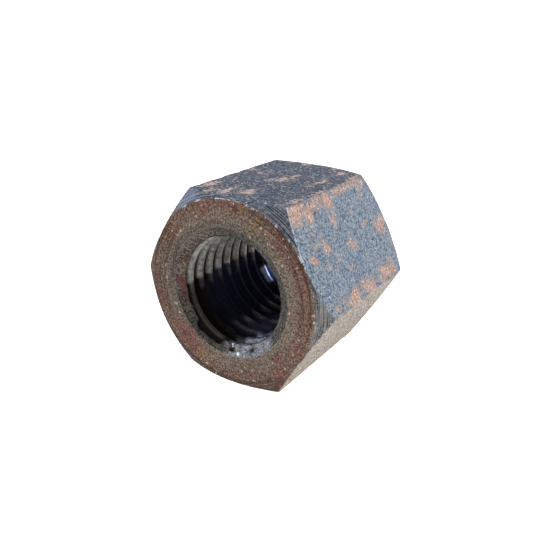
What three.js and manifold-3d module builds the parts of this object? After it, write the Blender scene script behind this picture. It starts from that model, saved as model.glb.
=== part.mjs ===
// A tall hexagon nut with an M16 x 2 right-hand thread, 24 mm across flats: one solid piece of steel.
// Millimetres. The thread axis runs along Y, and the front end face looks along -Y. The nut lies on one of
// its flats: +Z points up, square to that flat. The origin is the middle of the nut, on the thread axis.

import * as THREE from "three";
import { mergeVertices } from "three/addons/utils/BufferGeometryUtils.js";
import Module from "manifold-3d";

// Driving dimensions. Angles are in degrees.
const ACROSS_FLATS = 24;
const NUT_HEIGHT = 22;
const SIDE_EDGE_RADIUS = 0.5; // the rolled edge where two flats meet
const FACE_DIAMETER = 23.8; // the flat ring of an end face, out to the chamfer
const CHAMFER_ANGLE = 36; // from the end face
const THREAD_DIAMETER = 16;
const THREAD_PITCH = 2;
const THREAD_ANGLE = 60; // between the two flanks of a groove
const GROOVE_START_ANGLE = 312; // where the groove opens in the front face, from +X towards +Z
const COUNTERSINK_DIAMETER = 16.9;
const COUNTERSINK_ANGLE = 120; // included

// How finely the round shapes are faceted.
const LATHE_SIDES = 96;
const THREAD_STEPS_PER_TURN = 60;
const SIDE_EDGE_STEPS = 2;

// The metric thread form: a sharp V, cut short by an eighth at the groove and a quarter at the crest.
const GROOVE_FLAT = THREAD_PITCH / 8;
const CREST_FLAT = THREAD_PITCH / 4;
const FLANK_RUN = (THREAD_PITCH - GROOVE_FLAT - CREST_FLAT) / 2; // along the axis
const GROOVE_RADIUS = THREAD_DIAMETER / 2;
const CREST_RADIUS = GROOVE_RADIUS - FLANK_RUN / Math.tan(radians(THREAD_ANGLE / 2));

const HALF_HEIGHT = NUT_HEIGHT / 2;
const CORNER_DISTANCE = ACROSS_FLATS / 2 / Math.cos(radians(30)); // from the axis to a sharp side edge
const CUTTER_OVERRUN = 1; // how far a cutter passes the surface it cuts

const wasm = await Module();
wasm.setup();

function radians(degrees) {
  return THREE.MathUtils.degToRad(degrees);
}

// A closed three.js geometry as a manifold-3d solid, which can be cut and joined.
function solidFrom(geometry) {
  const bare = geometry.clone();
  bare.deleteAttribute("normal");
  bare.deleteAttribute("uv");
  const merged = mergeVertices(bare);
  return new wasm.Manifold(
    new wasm.Mesh({
      numProp: 3,
      vertProperties: merged.attributes.position.array,
      triVerts: new Uint32Array(merged.index.array),
    }),
  );
}

// A manifold-3d solid as a three.js geometry with flat faces.
function geometryFrom(solid) {
  const mesh = solid.getMesh();
  const indexed = new THREE.BufferGeometry();
  indexed.setAttribute("position", new THREE.BufferAttribute(mesh.vertProperties, mesh.numProp));
  indexed.setIndex(new THREE.BufferAttribute(mesh.triVerts, 1));
  const flatFaced = indexed.toNonIndexed();
  flatFaced.computeVertexNormals();
  return flatFaced;
}

// A solid turned about the thread axis, from [radius, y] points that leave the axis and come back to it.
function turned(profile) {
  const points = profile.map(([radius, y]) => new THREE.Vector2(radius, y));
  return solidFrom(new THREE.LatheGeometry(points, LATHE_SIDES));
}

// The hexagon bar, with a flat below and above and its six side edges rounded.
function hexagonBar() {
  const outline = new THREE.Shape();
  const arcDistance = CORNER_DISTANCE - SIDE_EDGE_RADIUS / Math.cos(radians(30));
  for (let corner = 0; corner < 6; corner++) {
    const angle = radians(60 * corner);
    outline.absarc(
      arcDistance * Math.cos(angle),
      arcDistance * Math.sin(angle),
      SIDE_EDGE_RADIUS,
      angle - radians(30),
      angle + radians(30),
      false,
    );
  }
  const bar = new THREE.ExtrudeGeometry(outline, {
    depth: NUT_HEIGHT,
    curveSegments: SIDE_EDGE_STEPS,
    bevelEnabled: false,
  });
  bar.translate(0, 0, -HALF_HEIGHT);
  bar.rotateX(radians(-90));
  return solidFrom(bar);
}

// The turned shape that the bar is faced and chamfered to: a disc with a cone at each end.
function chamferEnvelope() {
  const faceRadius = FACE_DIAMETER / 2;
  const outerRadius = CORNER_DISTANCE + CUTTER_OVERRUN;
  const chamferDepth = (outerRadius - faceRadius) * Math.tan(radians(CHAMFER_ANGLE));
  return turned([
    [0, -HALF_HEIGHT],
    [faceRadius, -HALF_HEIGHT],
    [outerRadius, -HALF_HEIGHT + chamferDepth],
    [outerRadius, HALF_HEIGHT - chamferDepth],
    [faceRadius, HALF_HEIGHT],
    [0, HALF_HEIGHT],
  ]);
}

// The cone cutter that countersinks the bore at the back face.
function backCountersinkCutter() {
  const mouthRadius = COUNTERSINK_DIAMETER / 2;
  const slope = Math.tan(radians(COUNTERSINK_ANGLE / 2)); // radius gained per millimetre of depth
  return turned([
    [0, HALF_HEIGHT - mouthRadius / slope],
    [mouthRadius + CUTTER_OVERRUN * slope, HALF_HEIGHT + CUTTER_OVERRUN],
    [0, HALF_HEIGHT + CUTTER_OVERRUN],
  ]);
}

// The tap that cuts the bore and its thread: a closed right-hand screw, longer than the nut at both ends.
// A ribbon with the form of one pitch is wound round the axis, so that its last edge meets its first edge
// one turn later, and a cone of faces to a point on the axis closes each end.
function tap() {
  const form = [
    [GROOVE_RADIUS, -GROOVE_FLAT / 2],
    [GROOVE_RADIUS, GROOVE_FLAT / 2],
    [CREST_RADIUS, GROOVE_FLAT / 2 + FLANK_RUN],
    [CREST_RADIUS, GROOVE_FLAT / 2 + FLANK_RUN + CREST_FLAT],
  ]; // [radius, distance along the axis]
  const lastEdge = form.length - 1;
  const turn = THREAD_STEPS_PER_TURN;
  const turnsPastFace = 2;
  const steps = turn * (Math.ceil(NUT_HEIGHT / THREAD_PITCH) + 2 * turnsPastFace);
  const startY = -HALF_HEIGHT - turnsPastFace * THREAD_PITCH;

  const vertices = [];
  for (let step = 0; step <= steps; step++) {
    const angle = (2 * Math.PI * step) / turn - radians(GROOVE_START_ANGLE);
    for (const [radius, along] of form) {
      const y = startY + (THREAD_PITCH * step) / turn + along;
      vertices.push(radius * Math.cos(angle), y, -radius * Math.sin(angle));
    }
  }

  const faces = [];
  const at = (step, edge) => step * form.length + edge;
  const addQuad = (a, b, c, d) => faces.push(a, b, c, a, c, d);
  for (let step = 0; step < steps; step++) {
    for (let edge = 0; edge < lastEdge; edge++) {
      addQuad(at(step, edge), at(step + 1, edge), at(step + 1, edge + 1), at(step, edge + 1));
    }
    if (step < steps - turn) {
      const later = step + turn;
      addQuad(at(step, lastEdge), at(step + 1, lastEdge), at(later + 1, 0), at(later, 0));
    }
  }

  // Each end's rim runs along one turn of an edge, then across the ribbon's own end, back to where it began.
  const frontRim = [];
  const backRim = [];
  for (let edge = lastEdge; edge > 0; edge--) {
    frontRim.push(at(0, edge));
  }
  for (let edge = 0; edge < lastEdge; edge++) {
    backRim.push(at(steps, edge));
  }
  for (let step = 0; step <= turn; step++) {
    frontRim.push(at(step, 0));
    backRim.push(at(steps - step, lastEdge));
  }
  const closeEnd = (rim, pointY) => {
    const point = vertices.length / 3;
    vertices.push(0, pointY, 0);
    rim.forEach((corner, i) => {
      faces.push(point, rim[(i + 1) % rim.length], corner);
    });
  };
  closeEnd(frontRim, startY);
  closeEnd(backRim, -startY + THREAD_PITCH);

  const screw = new THREE.BufferGeometry();
  screw.setAttribute("position", new THREE.Float32BufferAttribute(vertices, 3));
  screw.setIndex(faces);
  return solidFrom(screw);
}

function bluedSteel() {
  return new THREE.MeshStandardMaterial({ color: 0x3f4753, roughness: 0.55, metalness: 0.7 });
}

function hexNut() {
  const countersinkCutter = backCountersinkCutter();
  const solid = hexagonBar()
    .intersect(chamferEnvelope())
    .subtract(tap())
    .subtract(countersinkCutter)
    .subtract(countersinkCutter.rotate([180, 0, 0]));
  const mesh = new THREE.Mesh(geometryFrom(solid), bluedSteel());
  mesh.name = "hex_nut";
  return mesh;
}

const nut = new THREE.Group();
nut.add(hexNut());

export default nut;
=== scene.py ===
"""Looks for the tall M16 hexagon nut: one worn, rusted and oily piece of blued steel on a pale floor.

Lengths in this script are in millimetres, and become metres where they go to Blender. The thread axis
runs along Y, and the front face looks along -Y. An angle round the axis runs from +X towards +Z.
"""
from collections import namedtuple
import math

import bpy
import numpy as np
from mathutils import Matrix, Vector


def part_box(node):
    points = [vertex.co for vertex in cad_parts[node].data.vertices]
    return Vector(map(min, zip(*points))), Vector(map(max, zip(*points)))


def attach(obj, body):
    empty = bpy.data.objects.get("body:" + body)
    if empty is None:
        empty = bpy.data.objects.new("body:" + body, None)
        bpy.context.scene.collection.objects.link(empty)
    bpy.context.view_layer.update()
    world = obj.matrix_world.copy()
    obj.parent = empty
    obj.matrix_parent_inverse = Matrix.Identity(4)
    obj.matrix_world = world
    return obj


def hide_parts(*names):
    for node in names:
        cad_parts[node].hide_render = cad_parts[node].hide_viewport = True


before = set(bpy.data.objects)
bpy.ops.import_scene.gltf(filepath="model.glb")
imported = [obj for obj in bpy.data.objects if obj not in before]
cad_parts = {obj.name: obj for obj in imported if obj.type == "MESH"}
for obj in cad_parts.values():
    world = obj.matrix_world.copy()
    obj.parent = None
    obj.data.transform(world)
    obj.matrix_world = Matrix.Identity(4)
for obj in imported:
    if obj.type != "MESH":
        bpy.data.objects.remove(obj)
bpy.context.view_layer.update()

MM = 0.001
SEED = 16

# The nut, from the frame and from its drawing.
LOW, HIGH = (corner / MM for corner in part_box("hex_nut"))
SIDES = 6
SECTOR = 360 // SIDES  # degrees from one side edge to the next
HALF_SECTOR = SECTOR // 2
HALF_FLATS = (HIGH.z - LOW.z) / 2
HALF_HEIGHT = (HIGH.y - LOW.y) / 2
FACE_RADIUS = 11.9
CHAMFER_ANGLE = 36
SIDE_EDGE_RADIUS = 0.5
MOUTH_RADIUS = 8.45
MOUTH_SLOPE = math.tan(math.radians(60))  # radius lost per millimetre of depth
PITCH = 2
GROOVE_RADIUS = 8
CREST_RADIUS = 6.918
GROOVE_FLAT = PITCH / 8
GROOVE_START_ANGLE = 312  # where the groove opens in the front face
FLANK_SLOPE = math.tan(math.radians(60))  # radius lost per millimetre along the axis

# How the worn nut differs from its drawing.
EDGE_WEAR = 0.14  # radius worn onto the edges of the chamfers and end faces
THREAD_SOFTNESS = 0.05  # how far the thread's corners are rounded
MOST_PROUD = 0.02  # how far any point may stand out of the drawn surface
FILL_END = (0.86, 0.78)  # depths between which the dirt that shuts the groove's start comes to its end
CRESCENT = (229, 256)  # angles between which the groove's start is open, as a dark crescent
CRESCENT_EDGE = (0.42, 0.5)  # depths between which the crescent opens
LEFT_PIT = 272  # angles of the two pits in the dirt
RIGHT_PIT = 297
FIRST_THREAD_END = (3, 2.2)  # depths between which the first turn of the thread comes to its end
OIL_LEVEL = -0.65  # height of the oil's tide mark in the bore
REAR_REFLECTION_EDGE = (16.5, 17.5)  # depths between which the sliver without black oil, painted with a blue reflection, starts

# Where round the axis a trait of the nut lies, as (first angle, last angle, fade) for within().
PAINTED_REFLECTION_CORNER = (117, 127, 7)  # of the chamfers, a painted reflection
GREY_CORNER = (-25, 18, 15)
GREY_FACE = (60, 215, 30)  # where the grey of the countersink spreads most over the end face
BROWN_MOUTH = (120, 205, 25)
DARK_FACE_EDGE = (228, 308, 15)
RIGHT_MARKS = (0, 62, 25)  # where the lathe's marks on the end face are plain
LEFT_MARKS = (150, 205, 15)
FIRST_TURN_SHADE = (190, 260, 8)  # where painted shade darkens the first turn of the thread
THIN_OIL = (180, 255, 8)  # where the oil on the first turn's crest is thin
OIL_STREAKS = (252, 283, 8)
MOUTH_OIL = (200, 250, 15)
WET_FILM = (274, 316, 11)
WET_TONGUE = (282, 300, 8)  # where the wet film reaches deepest
REAR_REFLECTION_SLIVER = (212, 226, 5)  # the sliver of wall without black oil near the rear end, painted with a blue reflection

# How fine the nut's mesh is.
EDGE_ZONE = 1.3  # degrees on each side of a side edge where the columns are close together
EDGE_COLUMNS = 9
FLAT_COLUMNS = 39
ROW_COUNTS = {"side": 31, "chamfer": 8, "face": 14, "mouth": 3}
ROUNDING = (0.3, 0.7)  # where the rows of a worn edge's rounding lie, as shares of it
THROAT_GAP = 0.1  # how far outside the groove the rows of the countersinks end
ROW_GAP = 0.02  # height kept free between those rows and the rows that wind with the thread
MOUTH_REACH = 0.1  # a wall point this near to the countersink's cone belongs to the countersink
SIDE_ZONES = ("side", "side_edge")
BORE_ZONES = ("mouth", "bore")

# What all of the nut's finishes share.
SPECULAR_LEVEL = 0.01
COAT_ROUGHNESS = 0.18
GRAIN = (0.4, 0.62)  # where fine noise goes from dark grains to light ones

# The camera, in degrees and millimetres.
CAMERA_AZIMUTH = 32.28
CAMERA_ELEVATION = 21.9
CAMERA_ROLL = 1.84
CAMERA_DISTANCE = 89.9
CAMERA_TARGET = (-1.6, 0, -0.25)
CAMERA_LENS = 44.8
CAMERA_SENSOR = 36
CAMERA_NEAREST = 5
CAMERA_FARTHEST = 20000

# The floor.
FLOOR_GAP = 0.03  # how far it lies under the drawn nut, so that no rust on the nut comes through it
FLOOR_REACH = 900  # radius of its flat part
FLOOR_BEND = 250  # radius of the curve at its edge
FLOOR_SIDES = 96

# The light from all round, and the softboxes, as (name, direction from the nut, distance, width, watts).
AMBIENT_COLOUR = (0.93, 0.97, 1, 1)
AMBIENT_STRENGTH = 0.25
SOFTBOXES = [
    ("top_softbox", (0.1, -0.25, 0.96), 450, 300, 0.8),
    ("back_softbox", (0.62, 0.72, 0.3), 450, 260, 1.6),
    ("front_softbox", (-0.5, -0.72, 0.5), 500, 60, 1.2),
]


def link(name, data):
    """A new object with this data, in the scene."""
    made = bpy.data.objects.new(name, data)
    bpy.context.scene.collection.objects.link(made)
    return made


# ---------------------------------------------------------------- noise and smooth steps


def step(value, low, high):
    """0 below low, 1 above high, and smooth between. High may be under low."""
    t = np.clip((value - low) / (high - low), 0, 1)
    return t * t * (3 - 2 * t)


def smooth_max(a, b, softness):
    """The larger of two values, with the crease between them rounded."""
    return (a + b + np.sqrt((a - b) ** 2 + softness**2)) / 2


def lumps(points, size, seed):
    """Smooth random values from -1 to 1 at some points, in lumps of about this size.

    Each pattern has a seed of its own.
    """
    cells = 32
    table = np.random.default_rng(SEED + seed).uniform(-1, 1, (cells, cells, cells))
    scaled = points / size
    whole = np.floor(scaled).astype(int)
    part = step(scaled - whole, 0, 1)
    value = 0
    for dx in (0, 1):
        for dy in (0, 1):
            for dz in (0, 1):
                x, y, z = ((whole + (dx, dy, dz)) % cells).T
                weight = np.prod(np.where((dx, dy, dz), part, 1 - part), axis=1)
                value = value + weight * table[x, y, z]
    return value


# ---------------------------------------------------------------- the nut's mesh


def column_angles():
    """The angles of the mesh's columns, in degrees: close together at the six rounded side edges."""
    edge = np.linspace(-EDGE_ZONE, EDGE_ZONE, EDGE_COLUMNS)
    flat = np.linspace(EDGE_ZONE, SECTOR - EDGE_ZONE, FLAT_COLUMNS + 2)[1:-1]
    sector = np.concatenate([edge, flat])
    return np.concatenate([sector + SECTOR * side for side in range(SIDES)])


def outline_radius(angles):
    """Distance from the axis to the hexagon's outline, with its rounded corners."""
    edge = SIDE_EDGE_RADIUS
    to_corner = math.radians(HALF_SECTOR)
    arc_distance = (HALF_FLATS - edge) / math.cos(to_corner)
    from_corner = np.radians((angles + HALF_SECTOR) % SECTOR - HALF_SECTOR)
    flat = HALF_FLATS / np.cos(to_corner - np.abs(from_corner))
    across = np.clip(arc_distance * np.sin(from_corner), -edge, edge)
    arc = arc_distance * np.cos(from_corner) + np.sqrt(edge**2 - across**2)
    last_arc_angle = math.atan2(edge / 2, arc_distance + edge * math.cos(to_corner))
    return np.where(np.abs(from_corner) < last_arc_angle, arc, flat)


def stretch(start, end, count):
    """Rows from start up to, but without, end. Each is an array of [radius, y] for every column."""
    return [start + (end - start) * i / count for i in range(count)]


def toward(start, end):
    """Unit vectors from start to end."""
    away = end - start
    return away / np.linalg.norm(away, axis=1, keepdims=True)


def worn_edge(before, corner, after, cut):
    """The first row, the rounding rows between and the last row of an edge, worn back by cut."""
    first = corner + cut * toward(corner, before)
    last = corner + cut * toward(corner, after)
    rounding = [(1 - t) ** 2 * first + 2 * t * (1 - t) * corner + t**2 * last for t in ROUNDING]
    return [first, *rounding, last]


def outside_rows(angles, ring_radius, ring_depth):
    """Rows of [radius, y] over one end, from the middle of the side to the ring in the bore's mouth.

    Returns the rows and, for each, the name of the zone that it lies in.
    """
    side_radius = outline_radius(angles)
    rise = (side_radius - FACE_RADIUS) * math.tan(math.radians(CHAMFER_ANGLE))

    def ring(radius, y):
        return np.stack(np.broadcast_arrays(radius + 0 * side_radius, y + 0 * side_radius), axis=1)

    middle = ring(side_radius, 0)
    side_edge = ring(side_radius, -HALF_HEIGHT + rise)
    face_edge = ring(FACE_RADIUS, -HALF_HEIGHT)
    mouth_edge = ring(MOUTH_RADIUS, -HALF_HEIGHT)
    throat = ring(ring_radius, -HALF_HEIGHT + ring_depth)

    turn = math.radians(CHAMFER_ANGLE / 2)
    side_wear = worn_edge(middle, side_edge, face_edge, EDGE_WEAR * math.tan(math.radians(45) - turn))
    face_wear = worn_edge(side_edge, face_edge, mouth_edge, EDGE_WEAR * math.tan(turn))
    mouth_wear = worn_edge(face_edge, mouth_edge, throat, EDGE_WEAR / 2)
    parts = [
        ("side", stretch(middle, side_wear[0], ROW_COUNTS["side"])),
        ("side_edge", side_wear),
        ("chamfer", stretch(side_wear[-1], face_wear[0], ROW_COUNTS["chamfer"])[1:]),
        ("face_edge", face_wear),
        ("face", stretch(face_wear[-1], mouth_wear[0], ROW_COUNTS["face"])[1:]),
        ("mouth_edge", mouth_wear),
        ("mouth", stretch(mouth_wear[-1], throat, ROW_COUNTS["mouth"])[1:]),
        ("mouth", [throat]),
    ]
    rows = [row for _, part in parts for row in part]
    zones = [zone for zone, part in parts for _ in part]
    return rows, zones


def within(angles, first, last, fade):
    """1 at angles from first to last, which may be below zero, fading to 0 outside."""
    away = np.abs((angles - (first + last) / 2 + 180) % 360 - 180)
    return step(away, (last - first) / 2 + fade, (last - first) / 2)


def groove_fill(angles, y):
    """How full of burr and dirt the groove is, from 0 to 1.

    It is shut in the front countersink, but for the crescent and the two pits, and open everywhere else.
    """
    depth = y + HALF_HEIGHT
    crescent = within(angles, *CRESCENT, 6) * step(depth, *CRESCENT_EDGE)
    left_pit = np.exp(-(((angles - LEFT_PIT) / 3.2) ** 2))
    right_pit = 0.8 * np.exp(-(((angles - RIGHT_PIT) / 2.5) ** 2))
    return step(depth, *FILL_END) * np.clip(1 - crescent - (left_pit + right_pit), 0, 1)


def bore_radius(angles, y):
    """Distance from the axis to the wall of the threaded bore and its two countersunk mouths."""
    from_groove = (y + HALF_HEIGHT - PITCH * (GROOVE_START_ANGLE - angles) / 360 + PITCH / 2) % PITCH
    from_groove = np.abs(from_groove - PITCH / 2)
    flank = GROOVE_RADIUS - FLANK_SLOPE * (from_groove - GROOVE_FLAT / 2)
    thread = smooth_max(flank, CREST_RADIUS, THREAD_SOFTNESS)
    thread = -smooth_max(-thread, -GROOVE_RADIUS, 2 * THREAD_SOFTNESS)
    thread = thread + (CREST_RADIUS - thread) * groove_fill(angles, y)
    mouth = MOUTH_RADIUS - MOUTH_SLOPE * (HALF_HEIGHT - np.abs(y))
    return smooth_max(thread, mouth, THREAD_SOFTNESS)


def place(angles, radius, y):
    """Points from angles, radii and distances along the axis."""
    turn = np.radians(angles)
    return np.stack([radius * np.cos(turn), y, radius * np.sin(turn)], axis=-1)


def thread_rows():
    """Heights of the bore's rows before they wind round the axis, and how many rows one pitch has.

    They are places in the thread's form, so that each row follows the helix along a crest, flank or groove.
    """
    half_form = np.array([0.06, 0.125, 0.23, 0.38, 0.54, 0.67, 0.75, 0.84])  # from the groove's middle
    form = np.concatenate([half_form, PITCH - half_form[::-1]])
    reach = math.ceil(HALF_HEIGHT / PITCH) + 2
    turns = np.arange(-reach, reach)
    return (turns[:, None] * PITCH + form).ravel(), len(form)


def grid_faces(index):
    """Faces between the rows and columns of a grid of point numbers, without their repeated corners."""
    faces = []
    for low, high in zip(index[:-1], index[1:]):
        for corners in zip(low[:-1], low[1:], high[1:], high[:-1]):
            kept = list(dict.fromkeys(corners))
            if len(kept) > 2:
                faces.append(kept)
    return faces


def nut_surface():
    """The drawn nut: its points, its faces, and the name of the zone that each point lies in."""
    angles = np.sort(column_angles() % 360)
    ring_radius = GROOVE_RADIUS + THROAT_GAP
    ring_depth = (MOUTH_RADIUS - ring_radius) / MOUTH_SLOPE

    rows, zones = outside_rows(angles, ring_radius, ring_depth)
    rows = rows[::-1] + [row * (1, -1) for row in rows[1:]]
    zones = np.array(zones[::-1] + zones[1:])
    radius, y = np.array(rows).transpose(2, 0, 1)
    outside = place(np.broadcast_to(angles, y.shape), radius, y).reshape(-1, 3)
    outside_zones = np.repeat(zones, len(angles))
    index = np.arange(len(outside)).reshape(y.shape)
    front_ring, back_ring = index[0], index[-1]
    faces = grid_faces(np.hstack([index, index[:, :1]])[::-1].tolist())

    heights, pitch_rows = thread_rows()
    y = heights[:, None] + PITCH * (GROOVE_START_ANGLE - angles) / 360 - HALF_HEIGHT % PITCH
    inside = np.abs(y) < HALF_HEIGHT - ring_depth - ROW_GAP
    index = np.where(y < 0, front_ring, back_ring)
    index[inside] = len(outside) + np.arange(inside.sum())
    next_turn = np.concatenate([np.repeat(front_ring[0], pitch_rows), index[:-pitch_rows, 0]])
    faces += grid_faces(np.hstack([index, next_turn[:, None]]).tolist())
    wall_angles = np.broadcast_to(angles, y.shape)[inside]
    wall_y = y[inside]
    wall_radius = bore_radius(wall_angles, wall_y)
    wall = place(wall_angles, wall_radius, wall_y)
    cone_radius = MOUTH_RADIUS - MOUTH_SLOPE * (HALF_HEIGHT - np.abs(wall_y))
    in_mouth = cone_radius > wall_radius - MOUTH_REACH
    wall_zones = np.where(in_mouth, "mouth", "bore")
    return np.vstack([outside, wall]), faces, np.concatenate([outside_zones, wall_zones])


# ---------------------------------------------------------------- wear, rust, oil and painted light on the mesh

# Rust patches on the three flats that show, as (along, across, length, width, strength).
# Along is the distance along the thread axis, and across runs from one side edge to the next, the way that
# the angles round the axis run. A patch fades out over its length and width.
RIGHT_FLAT_RUST = [
    (-8.7, 5.8, 1.9, 0.8, 1.2), (-6.2, 5.3, 1, 0.9, 1.1), (-4, 6.2, 1.5, 0.6, 1),
    (-1.6, 5.8, 1.1, 0.8, 1.1), (-1, 4.9, 0.6, 0.6, 0.9), (1.6, 6.3, 1.6, 0.6, 1), (5, 6.4, 2, 0.5, 1),
    (8.2, 6.4, 1.2, 0.6, 0.8), (7.3, 5, 0.6, 0.7, 0.9), (-7.1, 3.6, 0.7, 0.7, 0.6),
    (-1.5, 3.1, 0.7, 0.6, 0.8), (3.4, 3.1, 0.6, 0.4, 0.5), (5, 1.3, 0.8, 0.4, 0.7),
    (4, 0.8, 0.5, 0.3, 0.6), (-5.8, 2.2, 0.5, 0.3, 0.6), (-7.2, 1.5, 0.7, 0.5, 0.6),
    (-5.3, 0.8, 0.7, 0.6, 0.9), (-8.9, 0.1, 0.6, 0.4, 1.1), (0.3, -0.2, 0.9, 0.6, 0.9),
    (8.6, -0.3, 0.9, 0.7, 1.1), (9.9, 0.5, 0.7, 0.8, 1), (-4, -1.2, 0.25, 0.8, 0.6),
    (-7, -1.4, 0.9, 0.3, 0.6), (-5.3, -2.4, 0.7, 0.3, 0.5), (-2, -2.8, 0.6, 0.4, 0.6),
    (10.1, -2.4, 0.5, 0.6, 0.7), (-6.5, -5.2, 0.5, 0.5, 0.6), (-9.3, -5, 0.7, 0.3, 0.5),
    (-8.3, -6.3, 0.9, 0.4, 0.7), (-4.1, -6.2, 1.5, 0.7, 1.1), (0.3, -5.9, 1.1, 0.8, 1.1),
    (2.8, -6.5, 1.3, 0.4, 0.6), (6, -5.9, 1.7, 0.7, 1.2), (7.5, -5, 0.5, 0.5, 0.8),
]
TOP_FLAT_RUST = [
    (-7, 5.8, 1, 0.8, 1), (-9.8, 3.9, 0.9, 0.4, 0.8), (-8, 2.5, 1.5, 0.4, 1), (-6.9, 0.1, 1.1, 0.7, 1),
    (-0.2, 1.1, 0.9, 0.4, 0.7), (0.4, -0.1, 1.2, 0.5, 1), (2.8, -0.8, 1.1, 0.3, 0.9),
    (1.9, -4.4, 1.6, 0.4, 1), (3.9, -2, 0.5, 0.3, 0.6), (8.3, -4.4, 1, 0.5, 0.9), (1.8, 3.6, 0.6, 0.8, 0.6),
    (2.7, 6, 0.6, 0.6, 0.7), (9.7, 4, 0.6, 0.5, 0.7), (10.1, 1.6, 0.5, 0.5, 0.9),
    (10.3, -2.6, 0.4, 0.5, 0.7), (-7, -6.4, 1.6, 0.5, 0.8), (-1.6, -6.7, 1.6, 0.3, 0.7),
    (8, -6.6, 1.8, 0.4, 0.8), (-9.5, -5.4, 0.6, 0.4, 0.5),
]
LOWER_RIGHT_FLAT_RUST = [
    (-8.5, -6.8, 2.4, 0.7, 1.2), (-3, -6.9, 2.5, 0.6, 1.1), (3, -6.9, 2.5, 0.7, 1.2),
    (8.5, -6.8, 1.8, 0.6, 1.1), (-10.2, -4.5, 0.4, 1.5, 0.6),
]

# The patches of each flat that shows, by the angle that it faces.
SEEN_FLATS = {30: RIGHT_FLAT_RUST, 90: TOP_FLAT_RUST, 330: LOWER_RIGHT_FLAT_RUST}

# By the angle that each flat faces: how much darker its blueing is painted, as a painted reflection, and how
# much pale dust, partly a painted reflection of the floor, lies in it.
FLAT_REFLECTION_TONES = {30: (0, 0), 90: (1, 0), 150: (0.5, 0.1), 210: (0.4, 0.4), 270: (0.3, 0.8), 330: (0, 1)}

# Stains on the front face and in its countersink, as (x, z, radius, strength).
FRONT_STAINS = {
    "red": [
        (-7.9, 0, 0.8, 1.3), (-6.8, 3.2, 0.4, 1.5), (-7.3, -1.5, 0.9, 1), (-10.8, -3, 0.8, 0.8),
        (-7.4, -5.8, 1.2, 0.8), (-6, -7.6, 1.4, 1.1), (-4.9, -8.8, 0.8, 0.7), (0.8, 11.1, 0.8, 0.8),
        (7.2, 8.2, 1.4, 0.5), (9.3, 6, 1.3, 0.6), (10, 3, 1.2, 0.5), (10.4, -0.5, 1.2, 0.6),
        (7, -6.5, 0.9, 1), (8.5, -9, 1.1, 0.8), (7.3, -9.5, 0.9, 0.9), (-9, 6, 2, 0.4), (-4, 10, 2, 0.3),
        (3, -9.6, 1.2, 0.3), (9.6, -4.4, 1.3, 0.4),
    ],
    "ochre": [
        (3.8, 10.2, 1.3, 0.9), (5.8, 9, 1, 0.6), (1.8, 10.7, 0.8, 0.6), (-4.3, -9.4, 1, 1),
        (-3.2, -10.2, 0.8, 0.6), (8.6, 7.2, 0.6, 0.5), (1.4, -9.3, 0.6, 0.5), (10.9, -3.2, 0.6, 0.5),
    ],
    "dark": [
        (0.7, 11.2, 0.5, 0.9), (-0.5, 9.9, 0.8, 0.5), (3.4, 10.9, 0.5, 1), (4.9, 9.9, 0.5, 0.8),
        (-9.3, -1.7, 0.8, 0.5), (-8.2, -4.2, 0.9, 0.6), (-5.4, -4.6, 1.3, 0.6), (6.2, -5, 0.8, 0.6),
        (-1, -10.9, 1.4, 0.5), (2.6, 8.2, 1.2, 0.5), (-2, 8.4, 1.4, 0.5),
    ],
}

# Dark turned rings on the front face, as (radius, width, first angle, last angle, strength).
FRONT_RINGS = [
    (11.5, 0.13, -20, 75, 1), (11.1, 0.09, 0, 62, 0.8), (10.6, 0.07, 15, 55, 0.6),
    (11.7, 0.2, 215, 300, 0.9), (9.9, 0.08, 150, 205, 0.6), (10.4, 0.07, 145, 195, 0.5),
    (9.3, 0.06, 165, 200, 0.4), (10.9, 0.06, 85, 120, 0.5),
]

# Worn stretches of the front end's edges, which also carry a painted highlight, as (first angle, last angle,
# fade, strength).
SIDE_EDGE_WEAR_AND_HIGHLIGHT = [(3, 60, 2, 0.45), (40, 60, 25, 0.4)]
FACE_EDGE_WEAR_AND_HIGHLIGHT = [(0, 128, 12, 0.72), (25, 118, 12, 0.06)]

# The knocks on the nut's edges: how many, the share on the round edges of the end faces, how far along the
# side edges they reach, and between which limits their sizes and their depths as shares of those sizes lie.
DENT_COUNT = 70
DENT_FACE_SHARE = 0.45
DENT_REACH = 9.5
DENT_SIZES = (0.25, 0.7)
DENT_DEPTHS = (0.07, 0.16)


def flat_places(points):
    """For each point: the angle of its flat's normal, and its place along and across that flat."""
    angles = np.degrees(np.arctan2(points[:, 2], points[:, 0]))
    facing = (np.floor(angles / SECTOR) * SECTOR + HALF_SECTOR) % 360
    turn = np.radians(facing)
    across = points[:, 2] * np.cos(turn) - points[:, 0] * np.sin(turn)
    return facing, points[:, 1], across


def flat_rust(points):
    """How rusty each point of the flats is: the patches that show, and like ones on the hidden flats."""
    facing, along, across = flat_places(points)
    ragged = lumps(points, 1.1, 3)
    shift_along = along + 0.4 * lumps(points, 1.3, 4) + 0.35 * lumps(points, 0.7, 17)
    shift_across = across + 0.4 * lumps(points, 1.3, 5) + 0.35 * lumps(points, 0.7, 18)
    edge = step(np.abs(across), 5.6, 6.9)
    patches = step(lumps(points, 2.6, 6) + 0.5 * ragged, 0.55, 1)
    rust = 0.9 * patches + edge * step(lumps(points, 3, 7), -0.2, 0.6)
    for flat, seen_patches in SEEN_FLATS.items():
        seen = 0.25 * edge
        for patch_along, patch_across, length, width, strength in seen_patches:
            away_along = (shift_along - patch_along) / length
            away_across = (shift_across - patch_across) / width
            seen = np.maximum(seen, strength * np.exp(-0.4 * (away_along**2 + away_across**2)))
        rust = np.where(facing == flat, seen, rust)
    return rust + 0.08 * ragged


def chamfer_rust(points, angles):
    """How rusty each point of the chamfers is: brown on the left and below, and blue from right to top."""
    brown = np.maximum(step(angles, 126, 139) * step(angles, 350, 336), 0.05)
    return brown + 0.2 * lumps(points, 1.2, 23)


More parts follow.
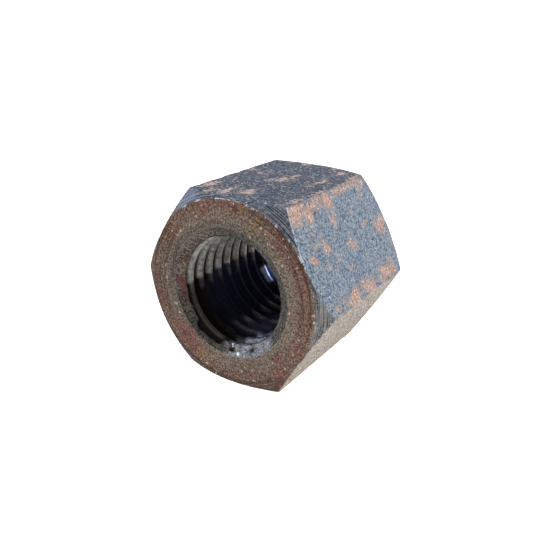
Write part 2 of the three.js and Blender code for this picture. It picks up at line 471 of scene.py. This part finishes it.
def face_stains(points, angles):
    """How red, ochre and dark each point of an end face or a countersink is, by name."""
    x, y, z = points.T
    radius = np.hypot(x, z)
    x = x + 0.5 * lumps(points, 1.3, 8)
    z = z + 0.5 * lumps(points, 1.3, 9)
    stains = {}
    for seed, (name, blots) in enumerate(FRONT_STAINS.items()):
        seen = np.zeros(len(points))
        for blot_x, blot_z, size, strength in blots:
            seen = seen + strength * np.exp(-((x - blot_x) ** 2 + (z - blot_z) ** 2) / size**2)
        stains[name] = np.where(y < 0, seen, 1.1 * lumps(points, 2.6, 30 + seed))
    wavy = radius + 0.06 * lumps(points, 2, 12)
    for ring, width, first, last, strength in FRONT_RINGS:
        groove = np.exp(-(((wavy - ring) / width) ** 2))
        stains["dark"] = stains["dark"] + strength * groove * within(angles, first, last, 15) * (y < 0)
    stains["red"] = stains["red"] + 0.5 * step(radius, 9.2, 11)
    stains["dark"] = stains["dark"] + 0.9 * within(angles, *DARK_FACE_EDGE) * step(wavy, 11, 11.9) * (y < 0)
    return stains


def along_edge(angles, stretches):
    """How much wear and painted highlight the stretches of an edge give each point of it."""
    return sum(strength * within(angles, first, last, fade) for first, last, fade, strength in stretches)


def edge_wear_and_highlight(zones, angles, radius, y):
    """How worn each edge is, which also paints a highlight: most at the front, from the right corner round
    the top to the upper left one.
    """
    flat_edge = np.where(y < 0, along_edge(angles, SIDE_EDGE_WEAR_AND_HIGHLIGHT), 0.3)
    face_edge = np.where(y < 0, along_edge(angles, FACE_EDGE_WEAR_AND_HIGHLIGHT), 0.4)
    beside = np.exp(-(((radius - FACE_RADIUS) / 0.35) ** 2))
    wear_and_highlight = [flat_edge, face_edge, 0.95 * face_edge * beside]
    return np.select([zones == "side_edge", zones == "face_edge", zones == "chamfer"], wear_and_highlight, 0)


def dents(points):
    """How deep each point lies in a knock on an edge, in millimetres."""
    random = np.random.default_rng(SEED)
    depth = np.zeros(len(points))
    side_edge_radius = HALF_FLATS / math.cos(math.radians(HALF_SECTOR)) - 0.1
    for _ in range(DENT_COUNT):
        if random.random() < DENT_FACE_SHARE:
            angle = random.uniform(0, 360)
            radius = FACE_RADIUS
            y = random.choice((-1, 1)) * HALF_HEIGHT
        else:
            angle = SECTOR * random.integers(SIDES)
            radius = side_edge_radius
            y = random.uniform(-DENT_REACH, DENT_REACH)
        size = random.uniform(*DENT_SIZES)
        middle = place(np.array([angle]), np.array([radius]), np.array([y]))
        away = np.sum((points - middle) ** 2, axis=1) / size**2
        depth = np.maximum(depth, random.uniform(*DENT_DEPTHS) * size * np.exp(-away))
    return depth


def shaded_dirty_pits(angles, depth):
    """How deep in one of the two pits of the front countersink each point lies, from 0 to 1. The pits hold
    dirt, and their black is painted shade.
    """
    left = np.exp(-(((angles - LEFT_PIT) / 4.5) ** 2) - ((depth - 0.47) / 0.22) ** 2)
    right = np.exp(-(((angles - RIGHT_PIT + 1) / 4) ** 2) - ((depth - 0.5) / 0.2) ** 2)
    return np.clip(1.4 * left + 1.1 * right, 0, 1)


def rear_reflection_sliver(angles, depth):
    """1 in the sliver of wall that has a wet film, a painted blue reflection and no black oil, and 0
    elsewhere.
    """
    return within(angles, *REAR_REFLECTION_SLIVER) * step(depth, *REAR_REFLECTION_EDGE)


def bore_oil(points, zones, angles, depth):
    """How much black oil hides each point.

    It hides nearly all of the bore below the tide mark, and less of some crests and the front countersink.
    In the countersink's open crescent and its two pits, its black is painted shade.
    """
    tide = step(points[:, 2] - OIL_LEVEL + 0.15 * lumps(points, 0.8, 14), 0.25, -0.25)
    below_tide = step(points[:, 2] + 0.4 * lumps(points, 0.9, 15), -2.6, -1.2)
    bare_crests = step(np.hypot(points[:, 0], points[:, 2]), CREST_RADIUS + 0.3, CREST_RADIUS + 0.05)
    first_thread = bare_crests * step(depth, *FIRST_THREAD_END) * within(angles, *THIN_OIL)
    bottom = within(angles, *OIL_STREAKS) * step(depth, 3, 4.5)
    streaks = bottom * step(lumps(points, 2, 19), -0.7, 0.3) * bare_crests
    in_bore = 1 - 0.16 * below_tide * bare_crests - 0.27 * first_thread - 0.18 * streaks
    in_bore = in_bore * (1 - rear_reflection_sliver(angles, depth))
    # Painted shade: the open crescent of the groove and the two pits are painted black.
    crescent = within(angles, CRESCENT[0] - 2, CRESCENT[1] + 2, 5) * step(depth, *CRESCENT_EDGE)
    in_mouth = np.maximum(0.35 * within(angles, *MOUTH_OIL), crescent)
    in_mouth = np.maximum(in_mouth, shaded_dirty_pits(angles, depth))
    in_mouth = np.where(depth < HALF_HEIGHT, in_mouth, 0)
    return tide * np.select([zones == "bore", zones == "mouth"], [in_bore, in_mouth], 0)


def oil_film(points, zones, angles, depth):
    """How much of a thin bright film of oil covers each point.

    It lies over the lower right of the front countersink and the first threads there, and in the rear sliver.
    Deeper in the bore it carries a painted blue reflection.
    """
    reach = 2.3 + 2.2 * within(angles, *WET_TONGUE) + 0.4 * lumps(points, 0.9, 16)
    film = within(angles, *WET_FILM) * step(depth - reach, 0.6, -0.6)
    film = film * (1 - shaded_dirty_pits(angles, depth))
    film = np.maximum(film, rear_reflection_sliver(angles, depth))
    return np.where(np.isin(zones, BORE_ZONES), film, 0)


def relief(drawn, zones, attributes):
    """How far each point stands out of the drawn surface, in millimetres."""
    proud = 0.02 * lumps(drawn, 4.5, 20) + 0.008 * lumps(drawn, 0.9, 21)
    crust = 0.03 * step(attributes["rust"], 0.3, 0.8) * lumps(drawn, 0.7, 22)
    proud = proud + np.where(np.isin(zones, SIDE_ZONES), crust, 0)
    proud = np.where(np.isin(zones, BORE_ZONES), 0.5 * proud, proud)
    proud = proud + 0.05 * attributes["wet"] * lumps(drawn, 0.55, 24)
    return np.minimum(proud - dents(drawn), MOST_PROUD)


def nut_attributes(drawn, zones):
    """What the material has to know at each point, by name: which zone it is in, how stained or worn, and
    where light and shade are painted.
    """
    x, y, z = drawn.T
    angles = np.degrees(np.arctan2(z, x)) % 360
    depth = y + HALF_HEIGHT
    radius = np.hypot(x, z)
    on_side = np.isin(zones, SIDE_ZONES)
    tones = np.array([FLAT_REFLECTION_TONES[flat] for flat in flat_places(drawn)[0]])
    rust = np.select([on_side, zones == "chamfer"], [flat_rust(drawn), chamfer_rust(drawn, angles)], 0)
    # Painted shade: the first turn of the thread on the lower left is marked to be painted darker, like the
    # groove.
    first_turn_shade = 0.42 * step(depth, *FIRST_THREAD_END) * within(angles, *FIRST_TURN_SHADE)
    groove = np.maximum(step(radius, CREST_RADIUS + 0.1, GROOVE_RADIUS - 0.1), first_turn_shade)
    right_marks = within(angles, *RIGHT_MARKS) * step(radius, 10, 10.6)
    left_marks = 0.7 * within(angles, *LEFT_MARKS)
    # Pale and plain are the chamfer's pale and grey corners, the pale one a painted reflection, near_mouth
    # and dry are the grey of the face and the brown of the countersink, turned is how plain the lathe's marks
    # are, and deep is far from the front.
    return {
        "chamfer": np.select([zones == "chamfer", zones == "side_edge"], [1, 0.5], 0),
        "face": np.isin(zones, ("face", "face_edge", "mouth_edge")),
        "mouth": zones == "mouth",
        "bore": zones == "bore",
        "groove": np.where(zones == "bore", groove, 0),
        "rust": rust,
        "painted_dim_reflection": tones[:, 0],
        "dust_and_reflection": tones[:, 1],
        "oil": bore_oil(drawn, zones, angles, depth),
        "wet": oil_film(drawn, zones, angles, depth),
        "wear_and_highlight": edge_wear_and_highlight(zones, angles, radius, y),
        "near_mouth": step(radius, 10.4, 8.7) * (0.25 + 0.75 * within(angles, *GREY_FACE)),
        "pale": within(angles, *PAINTED_REFLECTION_CORNER) + 0.35 * lumps(drawn, 1.1, 26),
        "plain": within(angles, *GREY_CORNER),
        "turned": 0.2 + 0.7 * np.maximum(right_marks, left_marks),
        "dry": within(angles, *BROWN_MOUTH),
        "deep": step(depth + 0.8 * lumps(drawn, 1.5, 27), 3, 7),
        **face_stains(drawn, angles),
    }


def build_nut():
    """The nut as one mesh, with its wear in the shape and its zones, stains and painted light as attributes.
    """
    drawn, faces, zones = nut_surface()
    mesh = bpy.data.meshes.new("worn_hex_nut")
    mesh.from_pydata(drawn * MM, [], faces)
    normals = np.empty(len(drawn) * 3, np.float32)
    mesh.vertex_normals.foreach_get("vector", normals)
    attributes = nut_attributes(drawn, zones)
    worn = drawn + relief(drawn, zones, attributes)[:, None] * normals.reshape(-1, 3)
    mesh.vertices.foreach_set("co", (worn * MM).astype(np.float32).ravel())
    for name, values in attributes.items():
        layer = mesh.attributes.new(name, "FLOAT", "POINT")
        layer.data.foreach_set("value", values.astype(np.float32))
    mesh.shade_smooth()
    return link("worn_hex_nut", mesh)


# ---------------------------------------------------------------- materials


# The colour, roughness, metalness, clear film and height in millimetres of one finish.
Look = namedtuple("Look", "colour roughness metallic coat height")


class Shader:
    """Short calls for the nodes of one material. A value is a number, a colour or another node's output."""

    def __init__(self, name):
        self.material = bpy.data.materials.new(name)
        self.material.use_nodes = True
        self.tree = self.material.node_tree
        self.tree.nodes.clear()
        in_metres = self.node("ShaderNodeTexCoord").outputs["Object"]
        scaled = self.node("ShaderNodeVectorMath", {0: in_metres, "Scale": 1 / MM}, operation="SCALE")
        self.place = scaled.outputs[0]

    def node(self, kind, values=None, **settings):
        """A new node, with its properties set and each of its inputs set or linked."""
        made = self.tree.nodes.new(kind)
        for name, setting in settings.items():
            setattr(made, name, setting)
        for socket, value in (values or {}).items():
            if isinstance(value, bpy.types.NodeSocket):
                self.tree.links.new(value, made.inputs[socket])
            else:
                made.inputs[socket].default_value = value
        return made

    def math(self, operation, first, second=0.0):
        """One sum, worked out by a node."""
        return self.node("ShaderNodeMath", {0: first, 1: second}, operation=operation).outputs[0]

    def step(self, value, low, high):
        """0 up to low, 1 from high, and smooth between."""
        limits = {"Value": value, "From Min": low, "From Max": high}
        return self.node("ShaderNodeMapRange", limits, interpolation_type="SMOOTHSTEP").outputs[0]

    def between(self, share, low, high):
        """A number that goes from low to high as share goes from 0 to 1."""
        values = {"Factor": share, "A": low, "B": high}
        return self.node("ShaderNodeMix", values, data_type="FLOAT").outputs[0]

    def mix(self, share, first, second):
        """A colour that goes from the first to the second as share goes from 0 to 1."""
        made = self.node("ShaderNodeMix", data_type="RGBA")
        for socket, value in ((0, share), (6, first), (7, second)):
            if isinstance(value, bpy.types.NodeSocket):
                self.tree.links.new(value, made.inputs[socket])
            else:
                made.inputs[socket].default_value = (*value, 1) if socket else value
        return made.outputs[2]

    def attribute(self, name):
        """The value of one of the mesh's attributes."""
        return self.node("ShaderNodeAttribute", attribute_name=name).outputs["Fac"]

    def noise(self, size, detail=2, roughness=0.5, place=None):
        """Cloudy values round 0.5, in lumps of about this size in millimetres."""
        values = {"Vector": place or self.place, "Scale": 1 / size, "Detail": detail, "Roughness": roughness}
        return self.node("ShaderNodeTexNoise", values).outputs["Fac"]

    def ragged(self, name, noise, spread, low, high):
        """An attribute as a share, its border made ragged by a noise."""
        uneven = self.math("MULTIPLY", self.math("SUBTRACT", noise, 0.5), spread)
        return self.step(self.math("ADD", self.attribute(name), uneven), low, high)

    def turned_place(self, radial, around):
        """A place for noise that draws it out round the thread axis, as a lathe leaves marks."""
        parts = self.node("ShaderNodeSeparateXYZ", {0: self.place}).outputs
        squares = self.math("ADD", self.math("POWER", parts[0], 2), self.math("POWER", parts[2], 2))
        radius = self.math("SQRT", squares)
        angle = self.math("ARCTAN2", parts[2], parts[0])
        depth = self.math("MULTIPLY", parts[1], radial)
        drawn = {0: self.math("MULTIPLY", radius, radial), 1: depth, 2: self.math("MULTIPLY", angle, around)}
        return self.node("ShaderNodeCombineXYZ", drawn).outputs[0]

    def over(self, share, below, above):
        """One look laid over another where share is 1."""
        colour = self.mix(share, below.colour, above.colour)
        return Look(colour, *(self.between(share, a, b) for a, b in zip(below[1:], above[1:])))

    def finish(self, look):
        """The material itself."""
        normal = self.node("ShaderNodeBump", {"Height": look.height, "Distance": MM}).outputs[0]
        values = {
            "Base Color": look.colour, "Roughness": look.roughness, "Metallic": look.metallic,
            "Coat Weight": look.coat, "Normal": normal,
            "Specular IOR Level": SPECULAR_LEVEL, "Coat Roughness": COAT_ROUGHNESS,
        }
        surface = self.node("ShaderNodeBsdfPrincipled", values).outputs[0]
        self.node("ShaderNodeOutputMaterial", {0: surface})
        return self.material


def oxide_look(s):
    """The blued flats: blue-grey oxide with a fine pale grain, darker by the flat as a painted reflection,
    and dustier on the lower flats, partly a painted reflection of the floor.
    """
    grain = s.noise(0.28, 3, 0.78)
    cloud = s.noise(1.1, 4, 0.65)
    # Painted reflection: the top flat's oxide is painted darker for the dark surroundings it reflects.
    dark = s.attribute("painted_dim_reflection")
    deep = s.mix(dark, (0.019, 0.044, 0.086), (0.0035, 0.012, 0.038))
    pale = s.mix(dark, (0.19, 0.228, 0.275), (0.12, 0.148, 0.195))
    blue = s.mix(s.step(grain, *GRAIN), deep, pale)
    clouded = s.math("MULTIPLY", s.step(cloud, 0.42, 0.66), s.between(dark, 0.4, 0.6))
    blue = s.mix(clouded, blue, s.mix(dark, (0.205, 0.225, 0.245), (0.1, 0.122, 0.165)))
    crumbs = s.step(s.noise(0.36, 2, 0.7), 0.57, 0.66)
    speckles = s.math("MULTIPLY", crumbs, s.between(dark, 0.42, 0.8))
    blue = s.mix(speckles, blue, s.mix(dark, (0.41, 0.38, 0.34), (0.5, 0.475, 0.46)))
    # Pale dust, partly a painted reflection of the floor on the flats that face down.
    dusty_reflection = s.mix(s.step(grain, *GRAIN), (0.045, 0.04, 0.036), (0.4, 0.365, 0.33))
    blue = s.mix(s.ragged("dust_and_reflection", cloud, 0.8, 0.3, 0.8), blue, dusty_reflection)
    speck = s.step(s.noise(0.5, 0), 0.85, 0.88)
    blue = s.mix(speck, blue, (0.75, 0.75, 0.75))
    return Look(blue, s.between(grain, 0.4, 0.62), 0.15, 0.0, s.math("MULTIPLY", grain, 0.07))


def rust_look(s):
    """Dry salmon and orange rust in a thin crust, pinker on the darkest flat."""
    mottle = s.noise(0.28, 4, 0.78)
    tint = s.step(s.noise(1.4, 2), 0.52, 0.66)
    salmon = s.mix(tint, (0.34, 0.235, 0.2), (0.35, 0.205, 0.125))
    salmon = s.mix(s.attribute("painted_dim_reflection"), salmon, (0.53, 0.39, 0.36))
    salmon = s.mix(s.step(mottle, 0.51, 0.62), salmon, (0.1, 0.095, 0.105))
    salmon = s.mix(s.step(mottle, 0.46, 0.37), salmon, (0.55, 0.47, 0.44))
    return Look(salmon, 0.85, 0.0, 0.0, s.math("MULTIPLY", mottle, 0.08))


def chamfer_look(s):
    """The chamfers: steel with fine turning marks, dark blue but for a grey corner and a pale one, whose pale
    blue is a painted reflection.
    """
    marks = s.noise(1, 4, 0.8, s.turned_place(7, 1.2))
    grain = s.noise(0.3, 3, 0.75)
    # Painted reflection: the pale blue of the upper left corner.
    pale = s.ragged("pale", s.noise(0.8, 3), 0.8, 0.4, 0.8)
    plain = s.attribute("plain")
    deep = s.mix(plain, (0.007, 0.013, 0.027), (0.022, 0.023, 0.024))
    deep = s.mix(pale, deep, (0.05, 0.07, 0.12))
    light = s.mix(plain, (0.135, 0.15, 0.175), (0.19, 0.19, 0.185))
    light = s.mix(pale, light, (0.15, 0.17, 0.235))
    dark = s.mix(s.step(marks, 0.4, 0.6), deep, light)
    dark = s.mix(s.math("MULTIPLY", s.step(grain, 0.54, 0.62), 0.45), dark, (0.26, 0.265, 0.275))
    height = s.math("ADD", s.math("MULTIPLY", marks, 0.05), s.math("MULTIPLY", grain, 0.03))
    return Look(dark, s.between(marks, 0.4, 0.6), 0.2, 0.0, height)


def face_look(s):
    """The end faces: grey-brown rust with red, ochre and dark stains over faint turning marks."""
    grain = s.noise(0.24, 3, 0.78)
    mottle = s.noise(0.8, 4, 0.7)
    rings = s.noise(1, 3, 0.7, s.turned_place(2.4, 0.8))
    fine = s.step(grain, 0.36, 0.66)
    brown = s.mix(fine, (0.032, 0.024, 0.018), (0.168, 0.135, 0.113))
    brown = s.mix(s.math("MULTIPLY", s.step(mottle, 0.45, 0.7), 0.5), brown, (0.155, 0.132, 0.112))
    grey = s.mix(fine, (0.03, 0.026, 0.022), (0.125, 0.112, 0.098))
    brown = s.mix(s.ragged("near_mouth", mottle, 2, 0.3, 1.2), brown, grey)
    red = s.mix(fine, (0.036, 0.016, 0.013), (0.17, 0.1, 0.083))
    brown = s.mix(s.ragged("red", mottle, 2.8, 0.2, 0.9), brown, red)
    ochre = s.mix(fine, (0.045, 0.027, 0.016), (0.205, 0.132, 0.08))
    brown = s.mix(s.ragged("ochre", mottle, 2.8, 0.35, 0.95), brown, ochre)
    shade = s.math("MULTIPLY", s.step(rings, 0.46, 0.58), s.attribute("turned"))
    shade = s.math("MAXIMUM", shade, s.math("MULTIPLY", s.ragged("dark", mottle, 2.2, 0.35, 1.1), 0.7))
    brown = s.mix(s.math("MULTIPLY", shade, 0.8), brown, (0.022, 0.016, 0.013))
    speck = s.math("MULTIPLY", s.step(s.noise(0.4, 0), 0.79, 0.84), 0.5)
    brown = s.mix(speck, brown, (0.42, 0.38, 0.34))
    height = s.math("ADD", s.math("MULTIPLY", rings, 0.05), s.math("MULTIPLY", grain, 0.05))
    return Look(brown, s.between(grain, 0.6, 0.8), 0.0, 0.0, height)


def mouth_look(s):
    """The countersinks: dull grey steel, brown where it is dry, with the face's stains running in."""
    marks = s.noise(1, 3, 0.7, s.turned_place(6, 2))
    grain = s.noise(0.28, 3, 0.75)
    mottle = s.noise(0.7, 4, 0.7)
    grey = s.mix(s.step(grain, *GRAIN), (0.018, 0.018, 0.016), (0.085, 0.081, 0.073))
    brown = s.mix(s.step(grain, *GRAIN), (0.024, 0.018, 0.015), (0.135, 0.112, 0.098))
    grey = s.mix(s.ragged("dry", mottle, 1.6, 0.3, 0.9), grey, brown)
    grey = s.mix(s.math("MULTIPLY", s.step(marks, 0.48, 0.66), 0.6), grey, (0.022, 0.022, 0.02))
    stained = s.math("MULTIPLY", s.ragged("red", grain, 3, 0.45, 1.1), 0.85)
    grey = s.mix(stained, grey, (0.07, 0.029, 0.024))
    grey = s.mix(s.math("MULTIPLY", s.ragged("dark", mottle, 1.8, 0.3, 1), 0.5), grey, (0.02, 0.02, 0.018))
    height = s.math("ADD", s.math("MULTIPLY", marks, 0.04), s.math("MULTIPLY", grain, 0.04))
    return Look(grey, 0.55, 0.1, 0.0, height)


def thread_look(s):
    """The dry thread: pale grey crests and flanks, with brown dirt and painted shade in the groove, and
    painted shade over the first turn on the lower left.
    """
    marks = s.noise(0.5, 3, 0.65)
    cloud = s.noise(1.5, 3)
    grey = s.mix(s.step(marks, 0.36, 0.6), (0.12, 0.12, 0.112), (0.27, 0.27, 0.258))
    grey = s.mix(s.math("MULTIPLY", s.step(cloud, 0.5, 0.7), 0.5), grey, (0.09, 0.085, 0.08))
    # Brown dirt and painted shade in the groove, and painted shade over the first turn.
    grey = s.mix(s.ragged("groove", marks, 0.6, 0.2, 0.65), grey, (0.028, 0.017, 0.012))
    return Look(grey, 0.5, 0.1, 0.0, s.math("MULTIPLY", marks, 0.02))


def oil_look(s):
    """Black oil, brownish near the front, and deeper in with a blue tinge, painted lighter in the groove than
    on the crests as painted light against the groove's shade.
    """
    # Painted light: the groove's oil is lighter than the crests' to even out their shade.
    blue = s.mix(s.attribute("groove"), (0.0062, 0.0066, 0.0145), (0.021, 0.022, 0.045))
    colour = s.mix(s.attribute("deep"), (0.0045, 0.0038, 0.0034), blue)
    return Look(colour, 0.9, 0.0, 0.0, s.math("MULTIPLY", s.noise(1.4, 3), 0.03))


def film_look(s):
    """A thin glossy film of oil on blue-grey steel, speckled with dirt, and painted blue deeper in, a painted
    reflection of the light past the rear end.
    """
    grain = s.noise(0.26, 3, 0.75)
    waves = s.noise(0.6, 2, 0.6)
    grey = s.mix(s.step(grain, *GRAIN), (0.02, 0.024, 0.032), (0.145, 0.17, 0.215))
    pits = s.step(waves, 0.56, 0.66)
    grey = s.mix(s.math("MULTIPLY", pits, 0.8), grey, (0.016, 0.012, 0.01))
    # Painted reflection: deeper in the bore the film is painted blue.
    grey = s.mix(s.attribute("deep"), grey, (0.05, 0.12, 0.32))
    height = s.math("ADD", s.math("MULTIPLY", grain, 0.07), s.math("MULTIPLY", waves, 0.16))
    return Look(grey, 0.35, 0.3, 1.0, height)


def bare_steel_and_highlight_look(s):
    """Bright steel on the worn edges, which is also a painted highlight along the front edges."""
    return Look((0.36, 0.385, 0.43), 0.4, 0.3, 0.0, 0.02)


def nut_material():
    """The whole nut's surface, from its finishes and the attributes that say where each one is."""
    s = Shader("blued_steel_worn")
    crumbs = s.noise(0.45, 4, 0.75)
    brown_face = face_look(s)
    look = s.over(s.ragged("rust", crumbs, 3, 0.42, 0.8), oxide_look(s), rust_look(s))
    chamfer = s.over(s.ragged("rust", crumbs, 1.8, 0.3, 0.75), chamfer_look(s), brown_face)
    look = s.over(s.step(s.attribute("chamfer"), 0.4, 0.9), look, chamfer)
    look = s.over(s.attribute("face"), look, brown_face)
    look = s.over(s.ragged("mouth", crumbs, 1.4, 0.25, 1), look, mouth_look(s))
    look = s.over(s.attribute("bore"), look, thread_look(s))
    look = s.over(s.attribute("oil"), look, oil_look(s))
    look = s.over(s.attribute("wet"), look, film_look(s))
    # Bare steel on the worn edges, partly a painted highlight.
    look = s.over(s.ragged("wear_and_highlight", s.noise(0.6, 4, 0.75), 1.7, 0.74, 0.95), look, bare_steel_and_highlight_look(s))
    return s.finish(look)


# ---------------------------------------------------------------- floor, light and camera


def floor_mesh():
    """A wide flat sheet under the nut, curved up all round at its edge."""
    profile = [(FLOOR_REACH * part / 4, 0) for part in range(1, 4)]
    for angle in range(0, 91, 10):
        turn = math.radians(angle)
        profile.append((FLOOR_REACH + FLOOR_BEND * math.sin(turn), FLOOR_BEND * (1 - math.cos(turn))))
    profile.append((FLOOR_REACH + FLOOR_BEND, 2 * FLOOR_BEND))
    level = LOW.z - FLOOR_GAP
    points = [(0, 0, level * MM)]
    for radius, rise in profile:
        for side in range(FLOOR_SIDES):
            turn = 2 * math.pi * side / FLOOR_SIDES
            points.append((radius * math.cos(turn) * MM, radius * math.sin(turn) * MM, (level + rise) * MM))
    faces = []
    for side in range(FLOOR_SIDES):
        after = (side + 1) % FLOOR_SIDES
        faces.append((0, 1 + side, 1 + after))
        for ring in range(len(profile) - 1):
            inner = 1 + ring * FLOOR_SIDES
            outer = inner + FLOOR_SIDES
            faces.append((inner + side, outer + side, outer + after, inner + after))
    mesh = bpy.data.meshes.new("floor")
    mesh.from_pydata(points, [], faces)
    mesh.shade_smooth()
    return mesh


def floor_material():
    """Plain pale paper that glows a little, so that it stays pale all round the nut."""
    s = Shader("pale_floor")
    values = {
        "Base Color": (0.92, 0.87, 0.82, 1), "Roughness": 0.8, "Specular IOR Level": 0.1,
        "Emission Color": (1, 1, 1, 1), "Emission Strength": 0.8,
    }
    surface = s.node("ShaderNodeBsdfPrincipled", values).outputs[0]
    s.node("ShaderNodeOutputMaterial", {0: surface})
    return s.material


def build_floor():
    """The floor, which is no part of the nut."""
    mesh = floor_mesh()
    mesh.materials.append(floor_material())
    link("floor", mesh)


def add_softbox(name, direction, distance, size, power):
    """A square area light that shines on the nut from a direction."""
    lamp = bpy.data.lights.new(name, "AREA")
    lamp.size = size * MM
    lamp.energy = power
    away = Vector(direction).normalized()
    softbox = link(name, lamp)
    softbox.location = away * distance * MM
    softbox.rotation_euler = away.to_track_quat("Z", "Y").to_euler()


def build_light():
    """Even studio light from all round, with softboxes above, behind right and in front left of the nut."""
    world = bpy.data.worlds.new("studio")
    world.use_nodes = True
    background = world.node_tree.nodes["Background"]
    background.inputs["Color"].default_value = AMBIENT_COLOUR
    background.inputs["Strength"].default_value = AMBIENT_STRENGTH
    bpy.context.scene.world = world
    for softbox in SOFTBOXES:
        add_softbox(*softbox)


def build_camera():
    """The camera, placed by its angle round and above the nut."""
    azimuth = math.radians(CAMERA_AZIMUTH)
    elevation = math.radians(CAMERA_ELEVATION)
    level = math.cos(elevation)
    back = Vector((math.sin(azimuth) * level, -math.cos(azimuth) * level, math.sin(elevation)))
    right = Vector((0, 0, 1)).cross(back).normalized()
    turn = Matrix.Rotation(math.radians(CAMERA_ROLL), 3, back)
    axes = Matrix((turn @ right, turn @ back.cross(right), back)).transposed()
    lens = bpy.data.cameras.new("camera")
    lens.lens = CAMERA_LENS
    lens.sensor_width = CAMERA_SENSOR
    lens.clip_start = CAMERA_NEAREST * MM
    lens.clip_end = CAMERA_FARTHEST * MM
    camera = link("camera", lens)
    spot = (Vector(CAMERA_TARGET) + back * CAMERA_DISTANCE) * MM
    camera.matrix_world = Matrix.Translation(spot) @ axes.to_4x4()
    bpy.context.scene.camera = camera


build_camera()
build_light()
build_floor()
bpy.context.scene.view_settings.view_transform = "Standard"

nut = build_nut()
nut.data.materials.append(nut_material())
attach(nut, "root")
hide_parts("hex_nut")
